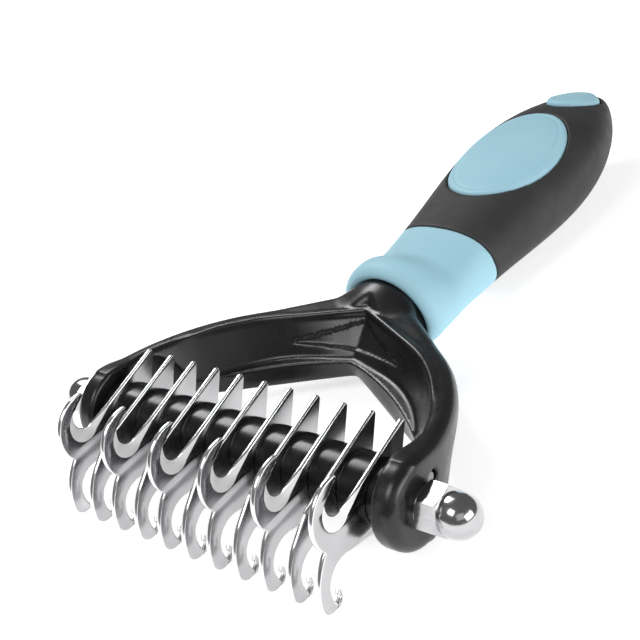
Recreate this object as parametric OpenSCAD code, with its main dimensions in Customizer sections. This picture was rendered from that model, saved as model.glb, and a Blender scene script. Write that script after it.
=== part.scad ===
// Dematting comb: eleven flat steel blades on a through shaft, held in a forked yoke,
// with a two-colour soft handle behind it.
//
// Millimetres, +Z up. The comb lies as it does on a table: on the toes of its blades and
// on the front rim of its collar. The shaft runs along X and the handle points along +Y.
// The origin is the middle of the footprint, on the table.

/* [Head] */

// Distance from one blade to the next
blade_pitch = 7.5; // [7:0.1:8]
// Thickness of the blade sheet
blade_t = 1.2; // [1:0.1:1.5]
// Outside diameter of the spacers between the blades
spacer_d = 14.5; // [14.3:0.1:15]
// Angle the blades are turned about the shaft, toes down
blade_set = 4.5; // [3:0.5:6]

/* [Yoke] */

// Thickness of the two arms at the shaft
arm_t = 5.8; // [5:0.2:7]
// Height of the bow where it meets the neck
bow_h = 13.3; // [12:0.1:15]

/* [Handle] */

// Distance from the shaft to the end of the handle
handle_reach = 160.6; // [150:0.2:170]
// Width of the grip at its belly
grip_w = 36.6; // [34:0.2:38]
// Height of the grip at its belly
grip_h = 24.2; // [22:0.2:24.2]

/* [Hidden] */

$fn = 96;
tiny = 0.01;

// ---- blades, seen from the nut end: x is towards the handle, y is up, shaft at [0, 0]
blade_count = 11;
hub_r = 7;
fin_foot = [7.2, 3.1];
top_slope = 0.175;
fin_tip_x = 10.4;
fin_tip_r = 0.8;
hook_c = [-12.5, 7.1];
hook_r = 8.6;
throat_c = [-12.2, 9.5];
throat_r = 2.9;
prong_c = [-10.7, 9.5];
prong_r = 4.4;
prong_from = 106;
prong_angle = 78;
prong_tip_r = 0.6;
shoulder_c = [-14, 3.6];
shoulder_r = 2.6;
leg_c = [-12.2, -8.8];
leg_r = 13.9;
leg_top = 122;
gullet_c = [-16, -8.2];
gullet_r = 6;
toe_r = 2.9;
toe_angle = 174;
toe_c = leg_c + (leg_r - toe_r) * [cos(toe_angle), sin(toe_angle)];
toe_heel_c = toe_c + [1.9, -1.3];
toe_heel_r = 1.1;
belly_from = [-14, -2.55];
belly_to_angle = atan2(belly_from[1], belly_from[0]) + acos(hub_r / norm(belly_from));
belly_to = hub_r * [cos(belly_to_angle), sin(belly_to_angle)];
throat_grind = 1.9;
gullet_grind = 1.3;

// ---- shaft, its nuts and the locating rod (M6 cap nuts)
shaft_d = 6;
nut_af = 10;
nut_hex_h = 5;
nut_h = 12;
nut_dome_d = 9.5;
nut_bore_depth = 8.6;
nut_turn = 8;
shaft_in_nut = 8;
running = 0.05;
washer_od = 9.6;
washer_t = 1;
seat_gap = 0.05;
rod_d = 2.4;
rod_r = 5.4;
rod_angle = 35;

// ---- derived positions along X
stack_half = blade_pitch * (blade_count - 1) / 2;
spacer_len = blade_pitch - blade_t;
end_spacer_len = 3.3;
arm_in = stack_half + blade_t / 2 + end_spacer_len;
arm_out = arm_in + arm_t;
nut_seat = arm_out + washer_t + 2 * seat_gap;
shaft_half = nut_seat + shaft_in_nut;

// ---- derived heights and lengths, measured from the shaft
toe_turned = [
    toe_c[0] * cos(blade_set) - toe_c[1] * sin(blade_set),
    toe_c[0] * sin(blade_set) + toe_c[1] * cos(blade_set)
];
shaft_z = toe_r - toe_turned[1];
reach_front = toe_turned[0] - toe_r;
shaft_y = -(handle_reach + reach_front) / 2;
handle_z = 1.45;

// ---- yoke
arm_end_r = 10.3;
arm_face_r = 7.8;
arm_edge = 2.6;
bow_r = arm_out + 0.2;
bow_top = 5.8;
bow_bottom = bow_top - bow_h;
bow_full_to = 3;
bow_lean = 24;
apex_y = bow_r - 1;
ledge_top = -2.6;
wall_foot_r = bow_r - 10.8;
wall_spread = 29.7;
window_apex_y = bow_r - 10.2;
window_turn = 30.3;
arm_run = 15.5;
web_half = 23.5;
neck_r = 10.2;
neck_start = bow_r - 2;
tang_r = 5.5;
tang_end = 112;

// ---- handle, as a round body about Y that is then widened and flattened
belly_y = 117;
belly_r = 15.3;
axis_rise = 2.18;
collar_front = 53;
flare_to_y = 57.5;
flare_low_y = 67.5;
flare_r = 14.3;
waist_y = 69;
waist_r = 11.6;
end_power = 0.7;
seam_y = 79.8;
seam_lean = 7.7;
handle_fn = 56;
pad_sink = 2.4;
pad_floor = 3.2;
pad_proud = 0.35;
pad_len = 40.6;
pad_w = 28.2;
pad_y = 112.7;
butt_pad_len = 15.8;
butt_pad_w = 14;
butt_pad_y = handle_reach - 13;
butt_pad_proud = 1.2;
core_r = 7.6;
neck_end = collar_front + 4.5;
core_start = neck_end + 1;
core_end = butt_pad_y - butt_pad_len / 2 - 2;

black = [0.07, 0.07, 0.08];
charcoal = [0.2, 0.2, 0.21];
blue = [0.62, 0.83, 0.9];
steel = [0.78, 0.79, 0.8];
bright = [0.85, 0.86, 0.87];

// ---------------------------------------------------------------- placing

// Puts a shape drawn about the shaft's middle into the comb's own frame.
module at_shaft() {
    translate([0, shaft_y, shaft_z]) children();
}

// Extrudes a side view (x towards the handle, y up) along X, from x0 over a length.
module along_x(x0, length) {
    translate([x0, 0, 0])
        rotate([90, 0, 90])
            linear_extrude(length) children();
}

// A round bar along X between two stations, at a place in the side view.
module bar_x(x0, x1, r, place = [0, 0]) {
    translate([x0, place[0], place[1]])
        rotate([0, 90, 0]) cylinder(r = r, h = x1 - x0);
}

function rod_place() = [rod_r * cos(rod_angle), rod_r * sin(rod_angle)];

// ---------------------------------------------------------------- blades

// Height of the straight top edge, which runs from the throat's floor to the fin.
function top_edge_y(x) = throat_c[1] - throat_r + top_slope * (x - throat_c[0]);

// What both kinds of blade share, apart from the toe: hub, fin, body and leg.
module blade_body() {
    fin_tip = [fin_tip_x, top_edge_y(fin_tip_x) - fin_tip_r * norm([1, top_slope])];
    difference() {
        union() {
            circle(r = hub_r);
            translate(fin_tip) circle(r = fin_tip_r);
            polygon([
                shoulder_c + shoulder_r * [cos(leg_top), sin(leg_top)],
                shoulder_c + shoulder_r * [-sin(atan(top_slope)), cos(atan(top_slope))],
                [throat_c[0], top_edge_y(throat_c[0])],
                [fin_tip[0] - 0.14, top_edge_y(fin_tip[0] - 0.14)],
                fin_tip + fin_tip_r * [cos(-24), sin(-24)],
                fin_foot,
                [5.5, -4.3],
                belly_to,
                belly_from,
                [-17, 0],
                leg_c + leg_r * [cos(leg_top), sin(leg_top)]
            ]);
            translate(shoulder_c) circle(r = shoulder_r);
            intersection() {
                translate(leg_c) circle(r = leg_r);
                translate([-30, toe_c[1]]) square([22, 14]);
            }
        }
        translate(gullet_c) circle(r = gullet_r);
        polygon([
            [gullet_c[0] - gullet_r, gullet_c[1]],
            [gullet_c[0], gullet_c[1] + gullet_r],
            belly_from,
            belly_to,
            [3, -20],
            [gullet_c[0] - gullet_r, -20]
        ]);
    }
}

// The blunt toe that keeps the leg from scratching, with a small heel at its back.
module toe() {
    translate(toe_c) circle(r = toe_r);
    translate(toe_heel_c) circle(r = toe_heel_r);
    polygon([
        toe_c,
        toe_c + toe_r * [cos(-80), sin(-80)],
        toe_heel_c + toe_heel_r * [cos(-80), sin(-80)],
        toe_heel_c + toe_heel_r * [cos(75), sin(75)]
    ]);
}

// The hook in front of the fin: a disc opened by the throat, ending in a rounded prong.
module hook_outline() {
    prong_tip = hook_c + (hook_r - prong_tip_r) * [cos(prong_angle), sin(prong_angle)];
    difference() {
        translate(hook_c) circle(r = hook_r);
        translate(throat_c) circle(r = throat_r);
        intersection() {
            translate(prong_c) circle(r = prong_r);
            translate(throat_c + [-2 * throat_r, 0]) square([4 * throat_r, 2 * throat_r]);
        }
        polygon([
            [throat_c[0], top_edge_y(throat_c[0]) - 0.3],
            [14, top_edge_y(14) - 0.3],
            [14, 22],
            prong_tip + [1, 8],
            prong_tip + prong_tip_r * [cos(-60), sin(-60)],
            prong_c + prong_r * [cos(prong_from), sin(prong_from)],
            throat_c + [0, 0.5]
        ]);
    }
    translate(prong_tip) circle(r = prong_tip_r);
}

module hub_holes() {
    circle(d = shaft_d + 0.3);
    translate(rod_place_in_blade()) circle(d = rod_d + 0.2);
}

// The locating rod does not turn with the blade's own setting angle.
function rod_place_in_blade() = [
    rod_r * cos(rod_angle - blade_set),
    rod_r * sin(rod_angle - blade_set)
];

// One ground edge: a cone that opens from the back face to the front face.
module ground_edge(centre, r, width) {
    translate([centre[0], centre[1], -tiny])
        cylinder(r1 = r, r2 = r + width, h = blade_t + 2 * tiny);
}

// A blade standing on the shaft at station x; hooked blades carry the extra hook.
module blade(x, hooked) {
    color(steel) at_shaft() translate([x - blade_t / 2, 0, 0])
        rotate([90, 0, 90]) rotate([0, 0, blade_set])
            difference() {
                union() {
                    difference() {
                        linear_extrude(blade_t) {
                            blade_body();
                            if (hooked) hook_outline();
                        }
                        ground_edge(gullet_c, gullet_r, gullet_grind);
                        if (hooked) ground_edge(throat_c, throat_r, throat_grind);
                    }
                    linear_extrude(blade_t) toe();
                }
                translate([0, 0, -1]) linear_extrude(blade_t + 2) hub_holes();
            }
}

function station(number) = (number - (blade_count + 1) / 2) * blade_pitch;

// ---------------------------------------------------------------- spacers and shaft

// A plain bush that keeps two blades apart and is keyed by the locating rod.
module bush(x0, length) {
    color(black) at_shaft()
        difference() {
            bar_x(x0, x0 + length, spacer_d / 2);
            bar_x(x0 - 1, x0 + length + 1, shaft_d / 2 + 0.15);
            bar_x(x0 - 1, x0 + length + 1, rod_d / 2 + 0.1, rod_place());
        }
}

module spacer(number) {
    bush(station(number) + blade_t / 2, spacer_len);
}

module end_spacer_left() {
    bush(-arm_in, end_spacer_len);
}

module end_spacer_right() {
    bush(arm_in - end_spacer_len, end_spacer_len);
}

module shaft() {
    color(steel) at_shaft() bar_x(-shaft_half, shaft_half, shaft_d / 2);
}

module locating_rod() {
    color(steel) at_shaft() bar_x(0.8 - arm_out, arm_out - 0.8, rod_d / 2, rod_place());
}

// Everything outside the right arm, mirrored for the left one.
module on_side(side) {
    at_shaft()
        if (side > 0) children();
        else mirror([1, 0, 0]) children();
}

module washer(side) {
    color(bright) on_side(side)
        difference() {
            bar_x(arm_out + seat_gap, arm_out + seat_gap + washer_t, washer_od / 2);
            bar_x(arm_out - 1, arm_out + washer_t + 2, shaft_d / 2 + 0.2);
        }
}

// A cap nut: six flats, a waist and a domed end, with a blind bore from the seat.
module cap_nut(side) {
    dome_r = nut_dome_d / 2;
    color(bright) on_side(side)
        difference() {
            union() {
                translate([nut_seat, 0, 0])
                    rotate([nut_turn, 0, 0])
                        rotate([0, 90, 0])
                            rotate([0, 0, 90])
                                cylinder(d = nut_af / cos(30), h = nut_hex_h, $fn = 6);
                bar_x(nut_seat, nut_seat + nut_h - dome_r, dome_r);
                translate([nut_seat + nut_h - dome_r, 0, 0]) sphere(r = dome_r);
            }
            bar_x(nut_seat - 1, nut_seat + nut_bore_depth, shaft_d / 2 + running);
        }
}

// ---------------------------------------------------------------- yoke

// The bow from the side, sloping down from the arms' round ends to the neck.
module bow_side() {
    polygon([
        [0, arm_end_r - 0.3],
        [0.55 * bow_r, bow_top + 1],
        [0.8 * bow_r, bow_top],
        [bow_r + 6, bow_top],
        [bow_r + 6, bow_bottom],
        [0.4 * bow_r, bow_bottom],
        [0, 0.3 - arm_end_r]
    ]);
}

// The bow's outer wall: upright at the top and leaning in below.
module bow_bowl() {
    depth = bow_full_to + arm_end_r;
    translate([0, 0, bow_full_to]) cylinder(r = bow_r, h = arm_end_r);
    translate([0, 0, -arm_end_r])
        cylinder(r1 = bow_r - depth * tan(bow_lean), r2 = bow_r, h = depth);
}

// The web that spreads from the neck into the bow.
module bow_web() {
    meet_y = sqrt(bow_r * bow_r - web_half * web_half);
    translate([0, 0, ledge_top - 3]) linear_extrude(bow_top + 3 - ledge_top)
        polygon([
            [-web_half, meet_y],
            [-neck_r - 0.6, bow_r + 5],
            [neck_r + 0.6, bow_r + 5],
            [web_half, meet_y],
            [0, 0]
        ]);
}

// The space between the arms, where the blades sit; its back corners are rounded.
module blade_bay() {
    corner_r = 7;
    linear_extrude(4 * arm_end_r, center = true) {
        translate([-arm_in, -bow_r]) square([2 * arm_in, bow_r + arm_run - corner_r]);
        translate([corner_r - arm_in, -bow_r])
            square([2 * (arm_in - corner_r), bow_r + arm_run]);
        for (s = [-1, 1])
            translate([s * (arm_in - corner_r), arm_run - corner_r]) circle(r = corner_r);
    }
}

// The bow's window: a wide cone with a pointed back above the ledge, a pointed hole below.
module bow_window() {
    top = 2 * arm_end_r;
    translate([0, 0, ledge_top])
        cylinder(r1 = wall_foot_r, r2 = wall_foot_r + top * tan(wall_spread), h = top);
    translate([0, 0, ledge_top]) linear_extrude(top)
        polygon([[-14, 0.84 * bow_r], [0, apex_y], [14, 0.84 * bow_r], [0, 0]]);
    translate([0, 0, -2 * arm_end_r]) linear_extrude(2 * arm_end_r + ledge_top + tiny)
        polygon([
            [0, window_apex_y],
            [-arm_in, window_apex_y - arm_in * tan(window_turn)],
            [-arm_in, 0],
            [arm_in, 0],
            [arm_in, window_apex_y - arm_in * tan(window_turn)]
        ]);
}

// The side view of an arm: round about the shaft and rising into the bow.
module arm_side() {
    circle(r = arm_end_r);
    polygon([
        [0, arm_end_r],
        [0.3 * bow_r, bow_top + 2.4],
        [0.3 * bow_r, 0],
        [7, -0.73 * arm_end_r]
    ]);
}

// One arm with its round boss, chamfered on the outer face.
module arm(side) {
    mirror([side > 0 ? 0 : 1, 0, 0]) {
        along_x(arm_in, arm_t - arm_edge) arm_side();
        translate([arm_out - arm_edge, 0, 0]) rotate([0, 90, 0])
            cylinder(r1 = arm_end_r, r2 = arm_face_r, h = arm_edge);
        along_x(arm_out - arm_edge - tiny, arm_edge) intersection() {
            translate([-arm_edge, -arm_edge]) arm_side();
            translate([0, -bow_r]) square(2 * bow_r);
            rotate(-10) square([9, 2 * arm_face_r], center = true);
        }
    }
}

module yoke() {
    color(black) at_shaft()
        difference() {
            union() {
                difference() {
                    intersection() {
                        union() {
                            bow_bowl();
                            bow_web();
                        }
                        along_x(-2 * bow_r, 4 * bow_r) bow_side();
                        translate([-2 * bow_r, 6, -2 * bow_r]) cube(4 * bow_r);
                    }
                    bow_window();
                    blade_bay();
                }
                arm(1);
                arm(-1);
                axis_bar(neck_start, neck_end, neck_r);
                axis_bar(neck_start, tang_end, tang_r);
            }
            bar_x(-arm_out - 1, arm_out + 1, shaft_d / 2 + 0.15);
            bar_x(-arm_out - 1, arm_out + 1, rod_d / 2 + 0.1, rod_place());
        }
}

// ---------------------------------------------------------------- handle

// Turns what is drawn about the Y axis onto the handle's axis, which rises to the end.
module on_axis() {
    translate([0, belly_y, handle_z]) rotate([axis_rise, 0, 0])
        translate([0, -belly_y, 0]) children();
}

// A round bar about the handle's axis between two stations.
module axis_bar(y0, y1, r) {
    on_axis() translate([0, y0, 0]) rotate([-90, 0, 0]) cylinder(r = r, h = y1 - y0);
}

// A smooth step from 0 to 1 between two stations.
function ease(y, start, end) =
    let (t = max(0, min(1, (y - start) / (end - start))))
    t * t * (3 - 2 * t);

// Radius of the round handle body at a distance from the shaft, up to its belly.
function handle_radius(y) =
    flare_r + (waist_r - flare_r) * ease(y, flare_to_y, flare_low_y)
        + (belly_r - waist_r) * ease(y, waist_y, belly_y);

// Turns a half outline about the handle's axis and gives it the oval section.
module handle_round() {
    on_axis() scale([grip_w / (2 * belly_r), 1, grip_h / (2 * belly_r)])
        rotate([-90, 0, 0]) rotate_extrude($fn = handle_fn) children();
}

// Half outline between two stations ahead of the belly.
module front_half(y0, y1, steps, grow) {
    polygon(concat(
        [[0, y0]],
        [for (i = [0:steps])
            let (y = y0 + (y1 - y0) * i / steps)
            [grow + handle_radius(y), y]],
        [[0, y1]]
    ));
}

// Half outline of the domed end, with its stations spaced so the dome stays round.
module end_half(grow) {
    polygon(concat(
        [[0, belly_y]],
        [for (a = [0:9:81])
            [(belly_r + grow) * pow(cos(a), 2 * end_power),
                belly_y + (handle_reach - belly_y + grow) * sin(a)]],
        [[0, handle_reach + grow]]
    ));
}

// The whole grip and a little of the collar's length, grown outwards by a little.
module grip_blank(grow) {
    handle_round() {
        front_half(seam_y - 6, belly_y, 9, grow);
        end_half(grow);
    }
}

// All that lies ahead of the seam, which leans with its top towards the blades.
module ahead_of_seam() {
    on_axis() translate([0, seam_y, 0]) rotate([seam_lean, 0, 0])
        translate([-grip_w, -2 * grip_w, -grip_w]) cube(2 * grip_w);
}

// A four-arc oval, length along y.
module oval(length, width) {
    end_r = width * width / (2 * length) * 1.1;
    side_r = (pow(length / 2 - end_r, 2) + pow(width / 2, 2) - end_r * end_r) / (width - 2 * end_r);
    end_c = length / 2 - end_r;
    meet = end_c * side_r / (side_r - end_r);
    for (s = [-1, 1]) translate([0, s * end_c]) circle(r = end_r, $fn = 48);
    intersection() {
        translate([side_r - width / 2, 0]) circle(r = side_r);
        translate([width / 2 - side_r, 0]) circle(r = side_r);
        translate([-width, -meet]) square([2 * width, 2 * meet]);
    }
}

// The pad's outline seen from above, carried up from a plane above the handle's axis.
module pad_prism(y, length, width) {
    translate([0, y, handle_z + pad_floor]) linear_extrude(grip_h) oval(length, width);
}

module handle_core() {
    color(black) at_shaft()
        difference() {
            axis_bar(core_start, core_end, core_r);
            axis_bar(core_start - 1, tang_end, tang_r);
        }
}

module grip() {
    color(charcoal) at_shaft()
        difference() {
            grip_blank(0);
            ahead_of_seam();
            axis_bar(core_start, core_end, core_r);
            pad_pocket(pad_y, pad_len, pad_w);
            pad_pocket(butt_pad_y, butt_pad_len, butt_pad_w);
        }
}

// The recess a pad sits in: the prism above a shallower copy of the handle.
module pad_pocket(y, length, width) {
    difference() {
        pad_prism(y, length, width);
        grip_blank(-pad_sink);
    }
}

module pad(y, length, width, proud) {
    color(blue) at_shaft()
        difference() {
            intersection() {
                pad_prism(y, length, width);
                grip_blank(proud);
            }
            grip_blank(-pad_sink);
        }
}

module thumb_pad() {
    pad(pad_y, pad_len, pad_w, pad_proud);
}

module butt_pad() {
    pad(butt_pad_y, butt_pad_len, butt_pad_w, butt_pad_proud);
}

module collar() {
    color(blue) at_shaft()
        difference() {
            intersection() {
                handle_round() front_half(collar_front, seam_y + 4, 18, 0);
                ahead_of_seam();
            }
            axis_bar(collar_front - 1, neck_end, neck_r);
            axis_bar(neck_end - 1, seam_y + 5, core_r);
        }
}

// ---------------------------------------------------------------- nodes

yoke();
handle_core();
grip();
collar();
thumb_pad();
butt_pad();
shaft();
locating_rod();
washer(-1);  // washer_left
washer(1);  // washer_right
cap_nut(-1);  // cap_nut_left
cap_nut(1);  // cap_nut_right
blade(station(1), true);  // hook_blade_1
blade(station(2), false);  // plain_blade_2
blade(station(3), true);  // hook_blade_3
blade(station(4), false);  // plain_blade_4
blade(station(5), true);  // hook_blade_5
blade(station(6), false);  // plain_blade_6
blade(station(7), true);  // hook_blade_7
blade(station(8), false);  // plain_blade_8
blade(station(9), true);  // hook_blade_9
blade(station(10), false);  // plain_blade_10
blade(station(11), true);  // hook_blade_11
end_spacer_left();
spacer(1);  // spacer_1
spacer(2);  // spacer_2
spacer(3);  // spacer_3
spacer(4);  // spacer_4
spacer(5);  // spacer_5
spacer(6);  // spacer_6
spacer(7);  // spacer_7
spacer(8);  // spacer_8
spacer(9);  // spacer_9
spacer(10);  // spacer_10
end_spacer_right();
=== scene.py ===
"""Looks of a dematting comb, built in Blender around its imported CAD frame.

The frame is in metres. Shapes here are worked out in millimetres about the middle of the blade
shaft: x along the shaft, y towards the end of the handle, z up. mesh_object() puts them in place.
Smooth moulded pieces come from distance fields (negative inside), meshed by mesh_field().
"""

import math

import bpy
import numpy as np
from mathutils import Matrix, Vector
from mathutils.geometry import tessellate_polygon


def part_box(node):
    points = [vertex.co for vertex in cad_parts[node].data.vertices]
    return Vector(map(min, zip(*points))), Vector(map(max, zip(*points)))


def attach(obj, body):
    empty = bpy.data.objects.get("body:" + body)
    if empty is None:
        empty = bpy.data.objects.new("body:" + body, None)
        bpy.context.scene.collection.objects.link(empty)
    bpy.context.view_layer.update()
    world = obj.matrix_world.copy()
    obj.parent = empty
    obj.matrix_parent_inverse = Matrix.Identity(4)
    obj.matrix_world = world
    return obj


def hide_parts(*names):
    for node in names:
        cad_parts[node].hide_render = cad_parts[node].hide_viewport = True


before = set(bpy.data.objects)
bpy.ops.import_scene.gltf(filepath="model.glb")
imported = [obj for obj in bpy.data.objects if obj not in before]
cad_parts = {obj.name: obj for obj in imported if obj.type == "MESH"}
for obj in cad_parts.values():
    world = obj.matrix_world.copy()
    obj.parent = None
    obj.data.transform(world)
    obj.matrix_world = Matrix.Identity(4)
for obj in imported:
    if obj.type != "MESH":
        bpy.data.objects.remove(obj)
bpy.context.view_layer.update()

MM = 0.001


def box_mm(node):
    """Lowest and highest corner of a CAD node in millimetres, in the frame's own place."""
    low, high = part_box(node)
    return np.array(low) / MM, np.array(high) / MM


shaft_low, shaft_high = box_mm("shaft")
SHAFT = (shaft_low + shaft_high) / 2
SHAFT_R = (shaft_high - shaft_low)[2] / 2


def about_shaft(node):
    """A CAD node's box, measured from the middle of the shaft."""
    low, high = box_mm(node)
    return low - SHAFT, high - SHAFT


# ---------------------------------------------------------------- sizes read from the frame

blade_low, blade_high = about_shaft("hook_blade_11")
BLADE_T = blade_high[0] - blade_low[0]
STACK_HALF = (blade_low[0] + blade_high[0]) / 2
BLADE_COUNT = 11
PITCH = 2 * STACK_HALF / (BLADE_COUNT - 1)
SPACER_R = (about_shaft("spacer_5")[1] - about_shaft("spacer_5")[0])[2] / 2
END_SPACER = about_shaft("end_spacer_right")
ARM_IN = END_SPACER[1][0]
ARM_OUT = about_shaft("yoke")[1][0]
NUT = about_shaft("cap_nut_right")
COLLAR_FRONT = about_shaft("collar")[0][1]
grip_high = about_shaft("grip")[1]
HANDLE_END = grip_high[1]
HALF_W = grip_high[0]
FLOOR_Z = -SHAFT[2]

# ---------------------------------------------------------------- meshes

# Settling a mesh onto its field: rounds, longest move in cells, least squared slope.
SETTLE_ROUNDS = 4
SETTLE_REACH = 0.4
FLAT_SLOPE = 0.1


def mesh_object(name, points, faces, smooth_angle=None):
    """An object from points in millimetres about the shaft; edges sharper than the angle stay crisp."""
    mesh = bpy.data.meshes.new(name)
    placed = (np.asarray(points, float) + SHAFT) * MM
    mesh.from_pydata(placed.tolist(), [], [list(map(int, f)) for f in faces])
    mesh.update()
    mesh.shade_smooth()
    if smooth_angle:
        mesh.set_sharp_from_angle(angle=math.radians(smooth_angle))
    obj = bpy.data.objects.new(name, mesh)
    bpy.context.scene.collection.objects.link(obj)
    return obj


def field_slope(field, points, step):
    """The field's gradient at the points, by central differences."""
    slope = np.empty_like(points)
    for axis in range(3):
        ahead, behind = points.copy(), points.copy()
        ahead[:, axis] += step
        behind[:, axis] -= step
        slope[:, axis] = (field(*ahead.T) - field(*behind.T)) / (2 * step)
    return slope


def mesh_field(field, low, high, cell):
    """Points and quads of the surface where field is zero (surface nets), settled onto it."""
    low, high = np.array(low, float), np.array(high, float)
    counts = np.ceil((high - low) / cell).astype(int) + 1
    grids = np.meshgrid(*[low[a] + cell * np.arange(counts[a]) for a in range(3)], indexing="ij")
    values = field(*grids)
    inside = values < 0
    shape = counts - 1
    total = np.zeros((*shape, 3))
    hits = np.zeros(shape)

    def corner_slice(offsets):
        return tuple(slice(o, o + n) for o, n in zip(offsets, shape))

    for axis in range(3):
        others = [a for a in range(3) if a != axis]
        for i in (0, 1):
            for j in (0, 1):
                near = [0, 0, 0]
                near[others[0]], near[others[1]] = i, j
                far = list(near)
                far[axis] = 1
                a, b = values[corner_slice(near)], values[corner_slice(far)]
                cut = (a < 0) != (b < 0)
                share = np.where(cut, a / np.where(cut, a - b, 1), 0)
                hits += cut
                total[..., axis] += np.where(cut, share, 0)
                total[..., others[0]] += cut * i
                total[..., others[1]] += cut * j
    active = hits > 0
    number = -np.ones(shape, int)
    number[active] = np.arange(active.sum())
    base = np.argwhere(active)
    points = low + cell * (base + total[active] / hits[active][:, None])

    quads = []
    for axis in range(3):
        a, b = (axis + 1) % 3, (axis + 2) % 3
        here, there = [slice(None)] * 3, [slice(None)] * 3
        here[axis], there[axis] = slice(0, -1), slice(1, None)
        crossing = inside[tuple(here)] != inside[tuple(there)]
        spots = np.argwhere(crossing)
        spots = spots[(spots[:, a] > 0) & (spots[:, b] > 0)]
        spots = spots[(spots[:, a] < shape[a]) & (spots[:, b] < shape[b])]
        ring = []
        for back_a, back_b in ((1, 1), (0, 1), (0, 0), (1, 0)):
            cellpos = spots.copy()
            cellpos[:, a] -= back_a
            cellpos[:, b] -= back_b
            ring.append(number[tuple(cellpos.T)])
        ring = np.array(ring).T
        outward = inside[tuple(spots.T)]
        ring[~outward] = ring[~outward][:, ::-1]
        quads.append(ring)
    quads = np.concatenate(quads)

    for _ in range(SETTLE_ROUNDS):
        value = field(*points.T)
        slope = field_slope(field, points, cell / 8)
        size = np.maximum((slope**2).sum(axis=1), FLAT_SLOPE)
        move = slope * (value / size)[:, None]
        length = np.linalg.norm(move, axis=1)
        points -= move * np.minimum(1, SETTLE_REACH * cell / np.maximum(length, 1e-9))[:, None]
    return points, quads


def lathe_x(profile, steps=96, start=0.0):
    """Points and quads of a solid turned about the shaft from rows of x and radius.

    Either value may be an array with one entry for each step round the turn."""
    angles = start + np.arange(steps) * 2 * math.pi / steps
    rings = []
    for x, radius in profile:
        x, radius = np.broadcast_to(x, steps), np.broadcast_to(radius, steps)
        rings.append(np.c_[x, radius * np.cos(angles), radius * np.sin(angles)])
    faces = []
    for row in range(len(profile) - 1):
        for i in range(steps):
            j = (i + 1) % steps
            here, there = row * steps, (row + 1) * steps
            faces.append([there + i, there + j, here + j, here + i])
    return np.concatenate(rings), faces


# ---------------------------------------------------------------- field helpers


def both(a, b, r):
    """Where both fields are solid, with the edge between them rounded to radius r."""
    return np.minimum(-r, np.maximum(a, b)) + np.hypot(np.maximum(a + r, 0), np.maximum(b + r, 0))


def either(a, b, r):
    """Where either field is solid, with a fillet of radius r in the corner."""
    return np.maximum(r, np.minimum(a, b)) - np.hypot(np.maximum(r - a, 0), np.maximum(r - b, 0))


def ease(value, start, end):
    """0 before start, 1 after end, and a smooth step between."""
    t = np.clip((value - start) / (end - start), 0, 1)
    return t * t * (3 - 2 * t)


def ramp(value, softness):
    """value where it is positive and 0 where it is negative, with a soft corner."""
    return 0.5 * (value + np.sqrt(value**2 + softness**2))


def pointed_disc(x, y, r, tip_y, tip_r):
    """Distance to a disc about the origin drawn out to a rounded point on +y."""
    reach = tip_y - tip_r
    b = (r - tip_r) / reach
    a = np.sqrt(1 - b * b)
    x = np.abs(x)
    k = a * y - b * x
    flank = a * x + b * y - r
    disc = np.hypot(x, y) - r
    tip = np.hypot(x, y - reach) - tip_r
    return np.where(k < 0, disc, np.where(k > a * reach, tip, flank))


# ---------------------------------------------------------------- handle's axis

BELLY_Y = 117.0
HALF_H = 12.1
AXIS_AT_BELLY = 1.45
AXIS_SLOPE = 0.038


def axis_z(y):
    """Height of the handle's axis, which rises a little towards the end."""
    return AXIS_AT_BELLY + AXIS_SLOPE * (y - BELLY_Y)


# ---------------------------------------------------------------- yoke

# Arms and bow: end discs, outline seen from above, top and bottom, and the outer side's lean.
ARM_END_R = 10.3
ARM_EDGE_R = 2.6
ARM_FILLET = 1.5
ARM_DROP, ARM_DROP_TO = 2.6, 18
BOW_R = ARM_OUT + 0.2
BOW_TOP = 5.8
BOW_RISE, BOW_RISE_TO, BOW_RISE_POWER = 4.1, 40, 1.15
BOW_BOTTOM = -7.5
BOW_LEAN = math.tan(math.radians(24))
BOW_LEAN_GROWS = (-2, 24)
BOW_FULL_TO = 3.0
BOW_FULL_SOFT = 2

# Neck: the point that the bow is drawn out to, and the round swell that goes into the collar.
WEB_POINT = 56.3
WEB_END = 52.0
NECK_R = 10.6
NECK_NOSE = 8.5
NECK_DEPTH = 4.4
NECK_FILLET = 4

# Space inside the bow: sloping wall, shelf at its foot, pointed window, bay between the arms.
WALL_FOOT_R = 36.6
WALL_SLOPE = 0.57
WALL_SPAN = (-1, 14)
WALL_POINT, WALL_POINT_RISE = 4.4, 8
WALL_TIP_GAP, WALL_TIP_R = 1.2, 1.5
SHELF_Z = -2.6
SHELF_EDGE_R = 0.5
RIM_R = 35.5
RIM_SHARE = 0.5
WINDOW_POINT = 37.2
WINDOW_TURN = math.atan(0.585)
WINDOW_ROUND = 1.2
BAY_DEPTH = 15.5
BAY_CORNER = 7.0
INNER_EDGE_R = 1.0

# Triangular pocket sunk into the wall at the middle of the bow.
POCKET_DEPTH = 0.7
POCKET_HALF_W = 17
POCKET_TOP, POCKET_TOP_FALL = 3.5, 3.0
POCKET_FLOOR, POCKET_FLOOR_RISE = -1.3, 1.8
POCKET_EDGE_R = 0.25

# Lip along the bow's top, whose bead thins away towards the arms' ends.
LIP_R = 42.3
LIP_POINT = 46.4
LIP_TIP_R = 2.5
LIP_SINK = 0.45
LIP_BEAD_R = 0.9
LIP_BEAD_LOSS, LIP_BEAD_GROWS = 2.5, (4, 30)
LIP_FILLET = 0.5

# Blind hole in the outer side of each arm, over the locating rod.
ROD_PLACE = (4.45, 3.1)
ROD_HOLE_R = 1.75
ROD_HOLE_DEPTH = 2.2
ROD_HOLE_EDGE_R = 0.25


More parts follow.
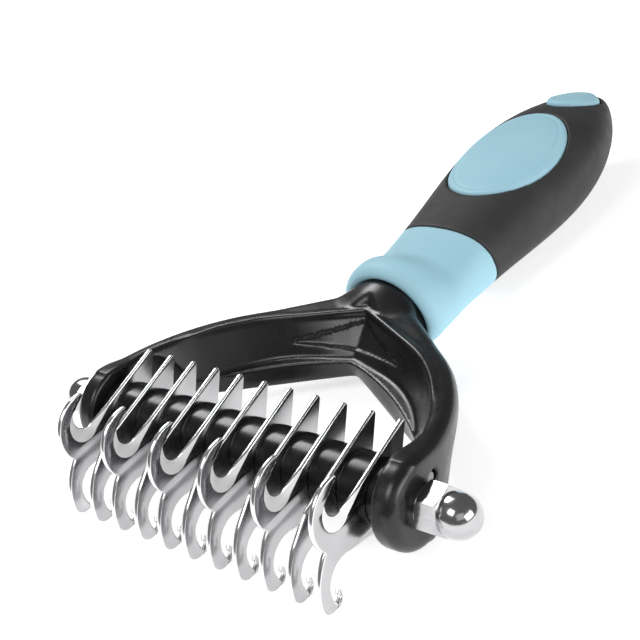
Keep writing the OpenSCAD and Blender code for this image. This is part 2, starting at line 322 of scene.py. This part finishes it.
def bow_top(y):
    """Height of the bow's upper side, falling from the arms' ends to the neck."""
    return BOW_TOP + BOW_RISE * np.clip(1 - y / BOW_RISE_TO, 0, 1.2) ** BOW_RISE_POWER


def bow_body(x, y, z):
    """The bow and the arms without the space inside them."""
    side = np.abs(x)
    lean = BOW_LEAN * ramp(BOW_FULL_TO - z, BOW_FULL_SOFT) * ease(y, *BOW_LEAN_GROWS)
    plan = np.where(y > 0, pointed_disc(x, y, BOW_R, WEB_POINT, NECK_R), side - BOW_R)
    outer = plan + lean
    disc = np.hypot(y, z) - ARM_END_R
    bottom = BOW_BOTTOM - ARM_DROP * (1 - ease(y, 0, ARM_DROP_TO))
    band = np.maximum(np.maximum(z - bow_top(y), bottom - z), np.maximum(-y, y - WEB_END))
    return both(outer, either(disc, band, ARM_FILLET), ARM_EDGE_R)


def neck_body(x, y, z):
    """The round neck that swells out of the bow and goes into the collar."""
    nose = np.minimum(y - COLLAR_FRONT, 0) * NECK_R / NECK_NOSE
    neck = np.sqrt(x**2 + (z - axis_z(y)) ** 2 + nose**2) - NECK_R
    return np.maximum(neck, y - COLLAR_FRONT - NECK_DEPTH)


def window_line(x, y):
    """Distance across the straight sides of the window's pointed back."""
    a = math.cos(WINDOW_TURN) * y + math.sin(WINDOW_TURN) * np.hypot(x, WINDOW_ROUND)
    return a - WINDOW_POINT * math.cos(WINDOW_TURN)


def cavity(x, y, z):
    """The space inside the bow: a sloping wall down to a shelf, and a pointed window below it."""
    side = np.abs(x)
    above = z - SHELF_Z
    wall_r = WALL_FOOT_R + WALL_SLOPE * np.clip(above, *WALL_SPAN)
    point = WALL_TIP_GAP + WALL_POINT * np.clip(above / WALL_POINT_RISE, 0, 1)
    wall = pointed_disc(x, y, wall_r, wall_r + point, WALL_TIP_R)
    corner_u = np.clip(side / POCKET_HALF_W, 0, 1)
    high = z - (POCKET_TOP - POCKET_TOP_FALL * corner_u)
    low = (POCKET_FLOOR + POCKET_FLOOR_RISE * corner_u) - z
    pocket = both(both(wall - POCKET_DEPTH, high, POCKET_EDGE_R), low, POCKET_EDGE_R)
    upper = both(np.minimum(wall, pocket), -above, SHELF_EDGE_R)
    rim = np.hypot(x, y) - RIM_R
    share = RIM_SHARE * ease(z, BOW_BOTTOM, SHELF_Z + 1)
    lower = (1 - share) * window_line(x, y) + share * rim
    window = np.minimum(upper, lower)
    window = np.maximum(window, side - ARM_IN)
    qx = side - (ARM_IN - BAY_CORNER)
    qy = y - (BAY_DEPTH - BAY_CORNER)
    outside = np.hypot(np.maximum(qx, 0), np.maximum(qy, 0))
    bay = outside + np.minimum(np.maximum(qx, qy), 0) - BAY_CORNER
    return np.minimum(window, bay)


def yoke_field(x, y, z):
    """Bow, arms and neck with the lip along the bow's top and the rod's hole in each arm."""
    body = either(bow_body(x, y, z), neck_body(x, y, z), NECK_FILLET)
    shell = both(body, -cavity(x, y, z), INNER_EDGE_R)
    lip_plan = pointed_disc(x, y, LIP_R, LIP_POINT, LIP_TIP_R)
    lost = LIP_BEAD_LOSS * (1 - ease(y, *LIP_BEAD_GROWS))
    lip = np.hypot(lip_plan, z - bow_top(y) + LIP_SINK) - LIP_BEAD_R + lost
    shell = either(shell, lip, LIP_FILLET)
    hole = np.hypot(y - ROD_PLACE[0], z - ROD_PLACE[1]) - ROD_HOLE_R
    hole = np.maximum(hole, ARM_OUT - ROD_HOLE_DEPTH - np.abs(x))
    return both(shell, -hole, ROD_HOLE_EDGE_R)


# ---------------------------------------------------------------- handle

# Radii along the handle, where the flare ends, and how round or square the section is.
BELLY_R = 15.3
WAIST_Y, WAIST_R = 69.0, 11.6
FLARE_R = 14.3
FLARE_TO, FLARE_LOW = 57.5, 67.5
FLARE_FADE = (-13, 3)
ROUNDER_FRONT = 0.18
END_POWER = 0.7
SECTION_POWER = 2.4
SQUARER_AFTER = 6
SLOPE_LIMITS = (0.5, 8)

# Seam between collar and grip, and the edges beside it.
SEAM_Y = 79.8
SEAM_LEAN = 0.136
SEAM_GAP = 0.12
SEAM_EDGE_R = 0.5
COLLAR_RIM_R = 3.4
COLLAR_HOLE_EDGE_R = 1.6

# Pads: depth of their pockets, gap round them, and the crease inside their edge.
PAD_SINK = 2.0
PAD_GAP = 0.22
POCKET_MOUTH_R = 0.45
CREASE_DEPTH, CREASE_INSET, CREASE_WIDTH = 0.16, 1.9, 0.4
PADS = {
    "thumb_pad": {"y": 112.7, "half_len": 20.3, "half_w": 14.1, "proud": 0.3, "edge": 0.95},
    "butt_pad": {"y": 147.6, "half_len": 7.9, "half_w": 7.0, "proud": 1.1, "edge": 1.6},
}


def handle_radius(y, above):
    """Radius along the handle: a flare that fades out below the axis, waist, belly and dome."""
    flare = (FLARE_R - WAIST_R) * ease(above, *FLARE_FADE)
    radius = WAIST_R + flare * (1 - ease(y, FLARE_TO, FLARE_LOW))
    radius = radius + (BELLY_R - WAIST_R) * ease(y, WAIST_Y, BELLY_Y)
    u = np.clip((y - BELLY_Y) / (HANDLE_END - BELLY_Y), 0, 1)
    return radius * (1 - u * u) ** END_POWER


def handle_field(x, y, z):
    """First-order distance to the rounded-square handle body."""

    def excess(px, py, pz):
        above = pz - axis_z(py)
        front = ROUNDER_FRONT * (1 - ease(py, FLARE_TO, FLARE_LOW))
        wide = HALF_W / BELLY_R - front
        tall = HALF_H / BELLY_R + front * ease(above, *FLARE_FADE)
        power = 2 + (SECTION_POWER - 2) * ease(py, COLLAR_FRONT + SQUARER_AFTER, SEAM_Y)
        section = (np.abs(px / wide) ** power + np.abs(above / tall) ** power) ** (1 / power)
        return section - handle_radius(py, above) + np.maximum(py - HANDLE_END, 0)

    step = 0.05
    value = excess(x, y, z)
    dx = (excess(x + step, y, z) - value) / step
    dy = (excess(x, y + step, z) - value) / step
    dz = (excess(x, y, z + step) - value) / step
    return value / np.clip(np.sqrt(dx**2 + dy**2 + dz**2), *SLOPE_LIMITS)


def seam_side(y, z):
    """Signed distance past the leaning plane where the collar meets the grip."""
    return (y - SEAM_Y + SEAM_LEAN * (z - axis_z(y))) / math.hypot(1, SEAM_LEAN)


def pad_plan(x, y, z, pad):
    """First-order distance to the pad's oval outline, seen from above."""
    s, t = x / pad["half_w"], (y - pad["y"]) / pad["half_len"]
    k = np.hypot(s, t)
    oval = (k - 1) * k / np.maximum(np.hypot(s / pad["half_w"], t / pad["half_len"]), 1e-6)
    return np.maximum(np.where(k < 0.05, -pad["half_w"], oval), axis_z(y) - z)


def grip_field(x, y, z):
    body = both(handle_field(x, y, z), SEAM_GAP - seam_side(y, z), SEAM_EDGE_R)
    for pad in PADS.values():
        pocket = np.maximum(pad_plan(x, y, z, pad) - PAD_GAP, -PAD_SINK - handle_field(x, y, z))
        body = both(body, -pocket, POCKET_MOUTH_R)
    return body


def pad_field(pad):
    """The field of one pad, crowned like the handle and creased all round inside its edge."""

    def field(x, y, z):
        plan = pad_plan(x, y, z, pad)
        skin = handle_field(x, y, z)
        crease = CREASE_DEPTH * np.exp(-(((plan + CREASE_INSET) / CREASE_WIDTH) ** 2))
        top = both(plan, skin - pad["proud"] + crease, pad["edge"])
        return np.maximum(top, 0.1 - PAD_SINK - skin)

    return field


def collar_field(x, y, z):
    body = both(handle_field(x, y, z), COLLAR_FRONT - y, COLLAR_RIM_R)
    body = both(body, seam_side(y, z) + SEAM_GAP, SEAM_EDGE_R)
    hole = np.hypot(x, z - axis_z(y)) - NECK_R
    hole = np.maximum(hole, y - COLLAR_FRONT - NECK_DEPTH - 0.1)
    return both(body, -hole, COLLAR_HOLE_EDGE_R)


# ---------------------------------------------------------------- blades

BLADE_SET = math.radians(4.5)
HUB_R = 7.0
FIN_FOOT = (7.2, 3.1)
FIN_FOOT_OUT = (0.94, -0.34)
TOP_SLOPE = math.atan(0.175)
FIN_TIP_X = 10.4
FIN_TIP_R = 0.8
HOOK_C, HOOK_R = (-12.5, 7.1), 8.6
THROAT_C, THROAT_R = (-12.2, 9.5), 2.9
PRONG_C, PRONG_R = (-10.7, 9.5), 4.4
PRONG_ANGLE, PRONG_TIP_R = 78, 0.6
SHOULDER_C, SHOULDER_R = (-14.0, 3.6), 2.6
LEG_C, LEG_R = (-12.2, -8.8), 13.9
GULLET_C, GULLET_R = (-16.0, -8.2), 6.0
TOE_R, TOE_ANGLE = 2.9, 174
TOE_C = (
    LEG_C[0] + (LEG_R - TOE_R) * math.cos(math.radians(TOE_ANGLE)),
    LEG_C[1] + (LEG_R - TOE_R) * math.sin(math.radians(TOE_ANGLE)),
)
HEEL_C, HEEL_R = (TOE_C[0] + 1.9, TOE_C[1] - 1.3), 1.1
BELLY_FROM = (-14.0, -2.55)
EDGE_W = 0.35
THROAT_GRIND = 2.7
THROAT_GRIND_FROM, THROAT_GRIND_SPAN, THROAT_GRIND_POWER = 0.12, 0.62, 0.8
THROAT_TAIL = 6.0
PRONG_GRIND = 2.1
PRONG_FADE = 0.65
GULLET_GRIND = 0.8
GROUND_LIP = 0.3
GROUND_FULL = 0.8
GROUND_SHOWS = 0.1
ROLL_ANGLES = range(-90, 61, 30)

# Degrees anticlockwise from +x at which the outline's arcs start and end.
HUB_TO = 16
FIN_TIP_FROM = -24
THROAT_TO = -176
PRONG_FROM, PRONG_TO = 180, 106
PRONG_TIP_FROM = -60
SHOULDER_TO = 125
PLAIN_LEG_FROM = 122
TOE_TO = 276
HEEL_FROM, HEEL_TO = -78, 62
TOE_INSIDE_FROM = 14

# Degrees skipped between two arcs that meet, so that their ends are separate points.
HOOK_SKIP, LEG_SKIP, GULLET_SKIP = 2, 1, 4


def arc(centre, r, start, end, width=None):
    """Rows (x, y, outward x, outward y, ground width) along an arc; start > end runs it hollow."""
    steps = max(3, int(abs(end - start) / 4))
    rows = []
    for i in range(steps + 1):
        share = i / steps
        angle = math.radians(start + (end - start) * share)
        c, s = math.cos(angle), math.sin(angle)
        out = 1 if end > start else -1
        w = EDGE_W if width is None else width(share)
        rows.append((centre[0] + r * c, centre[1] + r * s, out * c, out * s, w))
    return rows


def angle_of(centre, point):
    return math.degrees(math.atan2(point[1] - centre[1], point[0] - centre[0]))


def crossing_left(c1, r1, c2, r2):
    """The crossing of two circles that has the smaller x."""
    dx, dy = c2[0] - c1[0], c2[1] - c1[1]
    d = math.hypot(dx, dy)
    along = (r1 * r1 - r2 * r2 + d * d) / (2 * d)
    off = math.sqrt(r1 * r1 - along * along)
    base = (c1[0] + along * dx / d, c1[1] + along * dy / d)
    pair = [(base[0] + s * off * dy / d, base[1] - s * off * dx / d) for s in (1, -1)]
    return min(pair)


def throat_width(share):
    """The ground edge is widest where the throat turns up into the prong."""
    turn = math.pi * (THROAT_GRIND_FROM + THROAT_GRIND_SPAN * share)
    return EDGE_W + THROAT_GRIND * math.sin(turn) ** THROAT_GRIND_POWER


def prong_width(share):
    """The ground edge fades out on its way up the prong."""
    return EDGE_W + PRONG_GRIND * max(0, 1 - share / PRONG_FADE)


def gullet_width(share):
    """The ground edge is widest in the middle of the gullet."""
    return EDGE_W + GULLET_GRIND * math.sin(math.pi * share)


def blade_outline(hooked):
    """The outline seen from +X, anticlockwise from the bottom of the hub."""
    top_angle = 90 + math.degrees(TOP_SLOPE)
    top_dir = (math.cos(TOP_SLOPE), math.sin(TOP_SLOPE))
    top_out = (-top_dir[1], top_dir[0])
    on_top = (THROAT_C[0] - THROAT_R * top_out[0], THROAT_C[1] - THROAT_R * top_out[1])
    reach = (FIN_TIP_X - on_top[0]) / top_dir[0]
    fin_tip = (
        on_top[0] + reach * top_dir[0] - FIN_TIP_R * top_out[0],
        on_top[1] + reach * top_dir[1] - FIN_TIP_R * top_out[1],
    )
    belly_turn = math.degrees(math.acos(HUB_R / math.hypot(*BELLY_FROM)))
    belly_angle = angle_of((0, 0), BELLY_FROM) + belly_turn
    rows = arc((0, 0), HUB_R, belly_angle, HUB_TO)
    rows += [(*FIN_FOOT, *FIN_FOOT_OUT, EDGE_W)]
    rows += arc(fin_tip, FIN_TIP_R, FIN_TIP_FROM, top_angle)
    leg_from = PLAIN_LEG_FROM
    if hooked:
        prong_tip = (
            HOOK_C[0] + (HOOK_R - PRONG_TIP_R) * math.cos(math.radians(PRONG_ANGLE)),
            HOOK_C[1] + (HOOK_R - PRONG_TIP_R) * math.sin(math.radians(PRONG_ANGLE)),
        )
        notch = crossing_left(HOOK_C, HOOK_R, LEG_C, LEG_R)
        tail = (on_top[0] + THROAT_TAIL * top_dir[0], on_top[1] + THROAT_TAIL * top_dir[1])
        rows += [(*tail, *top_out, EDGE_W)]
        rows += arc(THROAT_C, THROAT_R, top_angle - 180, THROAT_TO, throat_width)
        rows += arc(PRONG_C, PRONG_R, PRONG_FROM, PRONG_TO, prong_width)
        rows += arc(prong_tip, PRONG_TIP_R, PRONG_TIP_FROM, PRONG_ANGLE)
        rows += arc(HOOK_C, HOOK_R, PRONG_ANGLE + HOOK_SKIP, angle_of(HOOK_C, notch) % 360)
        leg_from = angle_of(LEG_C, notch)
    else:
        rows += arc(SHOULDER_C, SHOULDER_R, top_angle, SHOULDER_TO)
    rows += arc(LEG_C, LEG_R, leg_from, TOE_ANGLE - LEG_SKIP)
    rows += arc(TOE_C, TOE_R, TOE_ANGLE, TOE_TO)
    rows += arc(HEEL_C, HEEL_R, HEEL_FROM, HEEL_TO)
    meet = crossing_left(TOE_C, TOE_R, GULLET_C, GULLET_R)
    rows += arc(TOE_C, TOE_R, TOE_INSIDE_FROM, angle_of(TOE_C, meet) - GULLET_SKIP)
    gullet_from = angle_of(GULLET_C, meet) % 360
    rows += arc(GULLET_C, GULLET_R, gullet_from, angle_of(GULLET_C, BELLY_FROM), gullet_width)
    return rows


FACE_SLOT, EDGE_SLOT, GROUND_SLOT = 0, 1, 2


def blade_points(x_mid, hooked):
    """Points, faces and the material of each face; the sheet's edge is rolled round."""
    rows = np.array(blade_outline(hooked))
    place, out, width = rows[:, :2], rows[:, 2:4], rows[:, 4]
    n = len(rows)
    half = BLADE_T / 2
    ground = np.clip((width - EDGE_W) / GROUND_FULL, 0, 1)
    lip = BLADE_T - (BLADE_T - GROUND_LIP) * ground
    rings = []
    for degrees in ROLL_ANGLES:
        angle = math.radians(degrees)
        inset = EDGE_W * (1 - math.cos(angle))
        rings.append((place - out * inset, lip * (1 + math.sin(angle)) / 2 - half))
    rings.append((place - out * width[:, None], np.full(n, half)))
    c, s = math.cos(BLADE_SET), math.sin(BLADE_SET)
    points = []
    for flat, x in rings:
        forward, up = flat.T
        points.append(np.c_[x_mid + x, forward * c - up * s, forward * s + up * c])
    points = np.concatenate(points)
    faces, slots = [], []
    last = len(rings) - 1
    for ring in range(last):
        for i in range(n):
            j = (i + 1) % n
            faces.append([ring * n + i, ring * n + j, (ring + 1) * n + j, (ring + 1) * n + i])
            is_ground = ring == last - 1 and ground[i] + ground[j] > GROUND_SHOWS
            slots.append(GROUND_SLOT if is_ground else EDGE_SLOT)
    for ring, back in ((0, True), (last, False)):
        flat = [Vector((p[1], p[2], 0)) for p in points[ring * n : ring * n + n]]
        for triangle in tessellate_polygon([flat]):
            a, b, d = (flat[k] for k in triangle)
            turns_left = (b - a).cross(d - a).z > 0
            face = [ring * n + k for k in triangle]
            faces.append(face if turns_left != back else face[::-1])
            slots.append(FACE_SLOT)
    return points, faces, slots


# ---------------------------------------------------------------- materials

# Noise scales in features per metre.
STAIN_SCALE = 90
GLOSS_SCALE = 240
SWELL_SCALE, SWELL_DEPTH = 60, 0.06
STEEL_STAIN_SCALE = 120
STEEL_LINE_SCALE = 900


def new_material(name):
    material = bpy.data.materials.new(name)
    material.use_nodes = True
    nodes, links = material.node_tree.nodes, material.node_tree.links
    return material, nodes, links, nodes["Principled BSDF"]


def noise(nodes, links, scale, detail=3.0, stretch=(1, 1, 1)):
    """A noise texture in object space, sized in features per metre; stretch draws it out."""
    coordinates = nodes.new("ShaderNodeTexCoord")
    mapping = nodes.new("ShaderNodeMapping")
    mapping.inputs["Scale"].default_value = stretch
    texture = nodes.new("ShaderNodeTexNoise")
    texture.inputs["Scale"].default_value = scale
    texture.inputs["Detail"].default_value = detail
    links.new(coordinates.outputs["Object"], mapping.inputs["Vector"])
    links.new(mapping.outputs["Vector"], texture.inputs["Vector"])
    return texture.outputs["Fac"]


def spread(nodes, links, source, low, high, from_low=0.3, from_high=0.7):
    """source stretched onto the range low to high."""
    node = nodes.new("ShaderNodeMapRange")
    node.inputs["From Min"].default_value = from_low
    node.inputs["From Max"].default_value = from_high
    node.inputs["To Min"].default_value = low
    node.inputs["To Max"].default_value = high
    links.new(source, node.inputs["Value"])
    return node.outputs["Result"]


def mix_colour(nodes, links, factor, first, second):
    node = nodes.new("ShaderNodeMix")
    node.data_type = "RGBA"
    links.new(factor, node.inputs["Factor"])
    node.inputs["A"].default_value = (*first, 1)
    node.inputs["B"].default_value = (*second, 1)
    return node.outputs["Result"]


def bump(nodes, links, height, distance, strength=1.0, after=None):
    node = nodes.new("ShaderNodeBump")
    node.inputs["Strength"].default_value = strength
    node.inputs["Distance"].default_value = distance
    links.new(height, node.inputs["Height"])
    if after is not None:
        links.new(after, node.inputs["Normal"])
    return node.outputs["Normal"]


def moulded(name, colour, shade, roughness, grain_size, grain_depth, specular=0.5):
    """Moulded plastic or rubber: slightly uneven colour and gloss over a fine grain and a faint swell."""
    material, nodes, links, shader = new_material(name)
    patches = noise(nodes, links, STAIN_SCALE, 4)
    links.new(
        mix_colour(nodes, links, spread(nodes, links, patches, 0, 1), colour, shade),
        shader.inputs["Base Color"],
    )
    gloss = noise(nodes, links, GLOSS_SCALE, 5)
    links.new(spread(nodes, links, gloss, *roughness), shader.inputs["Roughness"])
    grain = noise(nodes, links, 1 / (grain_size * MM), 2)
    swell = noise(nodes, links, SWELL_SCALE, 2)
    normal = bump(nodes, links, swell, SWELL_DEPTH * MM, 0.5)
    links.new(bump(nodes, links, grain, grain_depth * MM, 0.6, normal), shader.inputs["Normal"])
    shader.inputs["Specular IOR Level"].default_value = specular
    return material


def metal(name, colour, shade, roughness, stretch, scratch_depth, metallic=1.0):
    """Worked steel: fine lines drawn out one way over faint stains."""
    material, nodes, links, shader = new_material(name)
    shader.inputs["Metallic"].default_value = metallic
    patches = noise(nodes, links, STEEL_STAIN_SCALE, 4)
    links.new(
        mix_colour(nodes, links, spread(nodes, links, patches, 0, 1), colour, shade),
        shader.inputs["Base Color"],
    )
    lines = noise(nodes, links, STEEL_LINE_SCALE, 3, stretch)
    links.new(spread(nodes, links, lines, *roughness), shader.inputs["Roughness"])
    links.new(bump(nodes, links, lines, scratch_depth * MM, 0.5), shader.inputs["Normal"])
    return material


BLACK = moulded("black_plastic", (0.008, 0.008, 0.009), (0.011, 0.011, 0.012), (0.24, 0.34), 0.5, 0.008)
SPACER = moulded(
    "spacer_plastic", (0.007, 0.007, 0.008), (0.011, 0.011, 0.012), (0.2, 0.3), 0.35, 0.008, 0.35
)
GRIP = moulded("grip_rubber", (0.030, 0.030, 0.031), (0.040, 0.040, 0.041), (0.52, 0.66), 0.28, 0.02, 0.4)
BLUE = moulded("blue_rubber", (0.370, 0.640, 0.755), (0.395, 0.665, 0.775), (0.5, 0.64), 0.3, 0.016, 0.4)
FACE = metal("blade_face", (0.48, 0.48, 0.49), (0.55, 0.55, 0.56), (0.17, 0.23), (1, 1, 6), 0.0015)
EDGE = metal("blade_edge", (0.80, 0.80, 0.81), (0.88, 0.88, 0.89), (0.16, 0.24), (8, 1, 1), 0.002)
# Ground bevel: a white non-metal. Ground steel is brighter than the faces, and its bright sheen is also
# painted into the colour, so it shows white under any light.
GROUND = metal("ground_edge", (0.93, 0.93, 0.94), (0.97, 0.97, 0.97), (0.42, 0.55), (8, 1, 1), 0.003, 0.0)
# Shaft and rod steel: partly the steel's own dark tone, partly painted shade, darkened so the rod's end
# reads dark in its blind hole.
SHAFT_STEEL = metal("shaft_steel", (0.22, 0.22, 0.23), (0.30, 0.30, 0.31), (0.2, 0.34), (1, 8, 8), 0.006)
CHROME = metal("chrome", (0.46, 0.46, 0.47), (0.54, 0.54, 0.55), (0.12, 0.2), (1, 3, 3), 0.003)


def finish_piece(obj, body, materials, nodes):
    """Materials, body and the CAD nodes that the piece stands for."""
    for material in materials:
        obj.data.materials.append(material)
    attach(obj, body)
    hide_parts(*nodes)
    return obj


# ---------------------------------------------------------------- building

# The box that the yoke is meshed in: beyond its sides, lowest, highest, behind the collar's front.
YOKE_SIDE, YOKE_LOW, YOKE_HIGH, YOKE_TAIL = 2, -12, 13, 8
YOKE_CELL = 0.55
HANDLE_CELL = 0.5
PAD_CELL = 0.35


def build_yoke():
    reach = ARM_OUT + YOKE_SIDE
    low = (-reach, YOKE_LOW, YOKE_LOW)
    high = (reach, COLLAR_FRONT + YOKE_TAIL, YOKE_HIGH)
    shell = mesh_object("yoke_shell", *mesh_field(yoke_field, low, high, YOKE_CELL))
    finish_piece(shell, "comb", [BLACK], ["yoke"])


def build_handle():
    wide, low, high = HALF_W + 1, FLOOR_Z - 1, FLOOR_Z + 2 * HALF_H + 3
    seam_low = SEAM_Y - SEAM_LEAN * HALF_H - 2
    seam_high = SEAM_Y + SEAM_LEAN * HALF_H + 2
    grip_from, grip_to = (-wide, seam_low, low), (wide, HANDLE_END + 1, high)
    skin = mesh_object("grip_skin", *mesh_field(grip_field, grip_from, grip_to, HANDLE_CELL))
    finish_piece(skin, "comb", [GRIP], ["grip"])
    collar_from, collar_to = (-wide, COLLAR_FRONT - 1, low), (wide, seam_high, high)
    skin = mesh_object("collar_skin", *mesh_field(collar_field, collar_from, collar_to, HANDLE_CELL))
    finish_piece(skin, "comb", [BLUE], ["collar"])
    for name, pad in PADS.items():
        reach = pad["half_len"] + 1
        points, faces = mesh_field(
            pad_field(pad),
            (-pad["half_w"] - 1, pad["y"] - reach, -1),
            (pad["half_w"] + 1, pad["y"] + reach, high),
            PAD_CELL,
        )
        skin = mesh_object(name + "_skin", points, faces)
        finish_piece(skin, "comb", [BLUE], [name])


def build_blades():
    for number in range(1, BLADE_COUNT + 1):
        hooked = number % 2 == 1
        node = f"{'hook' if hooked else 'plain'}_blade_{number}"
        x = (number - (BLADE_COUNT + 1) / 2) * PITCH
        points, faces, slots = blade_points(x, hooked)
        obj = mesh_object(node + "_ground", points, faces, 28)
        finish_piece(obj, "comb", [FACE, EDGE, GROUND], [node])
        obj.data.polygons.foreach_set("material_index", slots)


SPACER_EDGE = 0.35
SPACER_CORNER = 0.1
SPACER_GAP = 0.15
WASHER_EDGE = 0.15
WASHER_GAP = 0.2


def build_spacer(node):
    """A plain sleeve with rounded ends; the extra rings near its ends keep its side shaded straight."""
    low, high = about_shaft(node)
    x0, x1, bore = low[0], high[0], SHAFT_R + SPACER_GAP
    corner = SPACER_R - SPACER_CORNER
    profile = [(x0, bore), (x0, SPACER_R - SPACER_EDGE), (x0 + SPACER_CORNER, corner)]
    profile += [(x0 + SPACER_EDGE, SPACER_R), (x0 + 2 * SPACER_EDGE, SPACER_R)]
    profile += [(x1 - 2 * SPACER_EDGE, SPACER_R), (x1 - SPACER_EDGE, SPACER_R)]
    profile += [(x1 - SPACER_CORNER, corner), (x1, SPACER_R - SPACER_EDGE)]
    profile += [(x1, bore), (x0, bore)]
    points, faces = lathe_x(profile)
    obj = mesh_object(node + "_turned", points, faces, 40)
    finish_piece(obj, "comb", [SPACER], [node])


def build_washer(side):
    node = f"washer_{side}"
    low, high = about_shaft(node)
    r, bore, edge = (high[2] - low[2]) / 2, SHAFT_R + WASHER_GAP, WASHER_EDGE
    profile = [(low[0], bore), (low[0], r - edge), (low[0] + edge, r)]
    profile += [(high[0] - edge, r), (high[0], r - edge), (high[0], bore), (low[0], bore)]
    points, faces = lathe_x(profile)
    obj = mesh_object(node + "_pressed", points, faces, 40)
    finish_piece(obj, f"{side}_washer", [CHROME], [node])


NUT_AF = 10.0
NUT_HEX_H = 5.0
NUT_DOME_R = 4.7
NUT_TURN = math.radians(8)
NUT_STEPS = 192
# Rows of the waist between the hexagon and the barrel: how far past the hexagon, how deep.
NUT_WAIST = ((0.12, 0.2), (0.5, 0.12), (0.9, 0.0))
CHAMFER_FROM = 4.85
CHAMFER_SLOPE = math.tan(math.radians(28))


def build_nut(side):
    """A cap nut: six flats with chamfered ends, a short waist, a barrel and a dome."""
    node = f"cap_nut_{side}"
    seat, tip = NUT[0][0], NUT[1][0]
    sector = math.pi / 3
    off = (np.arange(NUT_STEPS) * 2 * math.pi / NUT_STEPS) % sector - sector / 2
    hexagon = NUT_AF / 2 / np.cos(off)
    drop = (hexagon - CHAMFER_FROM) * CHAMFER_SLOPE
    hex_end = seat + NUT_HEX_H
    dome_mid = tip - NUT_DOME_R
    profile = [(seat, SHAFT_R), (seat, CHAMFER_FROM), (seat + drop, hexagon)]
    profile += [(hex_end - drop, hexagon), (hex_end, CHAMFER_FROM)]
    profile += [(hex_end + past, NUT_DOME_R - deep) for past, deep in NUT_WAIST]
    for degrees in range(0, 91, 5):
        angle = math.radians(degrees)
        radius = max(NUT_DOME_R * math.cos(angle), 0.01)
        profile.append((dome_mid + NUT_DOME_R * math.sin(angle), radius))
    points, faces = lathe_x(profile, NUT_STEPS, NUT_TURN + math.pi / 6 + math.pi / 2)
    if side == "left":
        points[:, 0] *= -1
        faces = [f[::-1] for f in faces]
    obj = mesh_object(node + "_plated", points, faces, 20)
    finish_piece(obj, f"{side}_nut", [CHROME], [node])


def dress_frame_nodes():
    """Materials of the CAD nodes that stay as they are: the shaft, the rod and the hidden core."""
    for node in ("shaft", "locating_rod"):
        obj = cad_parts[node]
        obj.data.materials.clear()
        obj.data.materials.append(SHAFT_STEEL)
    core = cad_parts["handle_core"]
    core.data.materials.clear()
    core.data.materials.append(BLACK)


build_yoke()
build_handle()
build_blades()
spacer_nodes = ["end_spacer_left", "end_spacer_right"]
spacer_nodes += [f"spacer_{i}" for i in range(1, BLADE_COUNT)]
for spacer_node in spacer_nodes:
    build_spacer(spacer_node)
for side_name in ("left", "right"):
    build_washer(side_name)
    build_nut(side_name)
dress_frame_nodes()

# ---------------------------------------------------------------- stage, light and camera

TABLE_HALF = 1500.0
TABLE_GAP = 0.02
TABLE_PATCH_SCALE = 6
TABLE_GLOW = 0.65
WORLD_STRENGTH = 0.16
LIT_POINT = (0, 40, 0)
SOFTBOXES = {
    "key": {"place": (-325, 170, 356), "size": (200, 200), "power": 1.35},
    "front": {"place": (-60, -300, 420), "size": (260, 200), "power": 0.9},
    "fill": {"place": (420, 20, 140), "size": (300, 160), "power": 0.9},
    "card": {"place": (400, -330, 360), "size": (400, 300), "power": 0.2},
}


def build_stage():
    """A pale table, lit a little from inside, that fills the picture seen from the photo's place."""
    half, top = TABLE_HALF, FLOOR_Z - TABLE_GAP
    points = [(-half, -half, top), (half, -half, top), (half, half, top), (-half, half, top)]
    floor = mesh_object("table_top", points, [(0, 1, 2, 3)])
    material, nodes, links, shader = new_material("pale_table")
    tone = spread(nodes, links, noise(nodes, links, TABLE_PATCH_SCALE, 2), 0, 1)
    colour = mix_colour(nodes, links, tone, (0.93, 0.93, 0.93), (0.90, 0.90, 0.90))
    links.new(colour, shader.inputs["Base Color"])
    shader.inputs["Roughness"].default_value = 0.9
    shader.inputs["Emission Color"].default_value = (1, 1, 1, 1)
    shader.inputs["Emission Strength"].default_value = TABLE_GLOW
    floor.data.materials.append(material)


def softbox(name, place, target, size, power):
    """A rectangular light in millimetres about the shaft, facing its target."""
    light = bpy.data.lights.new(name, "AREA")
    light.shape = "RECTANGLE"
    light.size, light.size_y = size[0] * MM, size[1] * MM
    light.energy = power
    obj = bpy.data.objects.new(name, light)
    at = (Vector(place) + Vector(SHAFT)) * MM
    aim = (Vector(target) + Vector(SHAFT)) * MM
    obj.location = at
    obj.rotation_euler = (aim - at).to_track_quat("-Z", "Y").to_euler()
    bpy.context.scene.collection.objects.link(obj)


def build_light():
    world = bpy.data.worlds.new("studio")
    world.use_nodes = True
    world.node_tree.nodes["Background"].inputs["Color"].default_value = (1, 1, 1, 1)
    world.node_tree.nodes["Background"].inputs["Strength"].default_value = WORLD_STRENGTH
    bpy.context.scene.world = world
    for name, box in SOFTBOXES.items():
        softbox(name, box["place"], LIT_POINT, box["size"], box["power"])


CAMERA_PLACE = (182.49, -134.45, 164.52)
CAMERA_TURN = (57.252, 14.708, 38.515)
CAMERA_LENS = 71.48


def build_camera():
    camera = bpy.data.cameras.new("photo_view")
    camera.sensor_width = 36.0
    camera.lens = CAMERA_LENS
    camera.clip_start = 0.01
    camera.clip_end = 20
    obj = bpy.data.objects.new("photo_view", camera)
    obj.location = (Vector(CAMERA_PLACE) + Vector(SHAFT)) * MM
    obj.rotation_euler = [math.radians(v) for v in CAMERA_TURN]
    bpy.context.scene.collection.objects.link(obj)
    bpy.context.scene.camera = obj


build_stage()
build_light()
build_camera()
bpy.context.scene.view_settings.view_transform = "Standard"
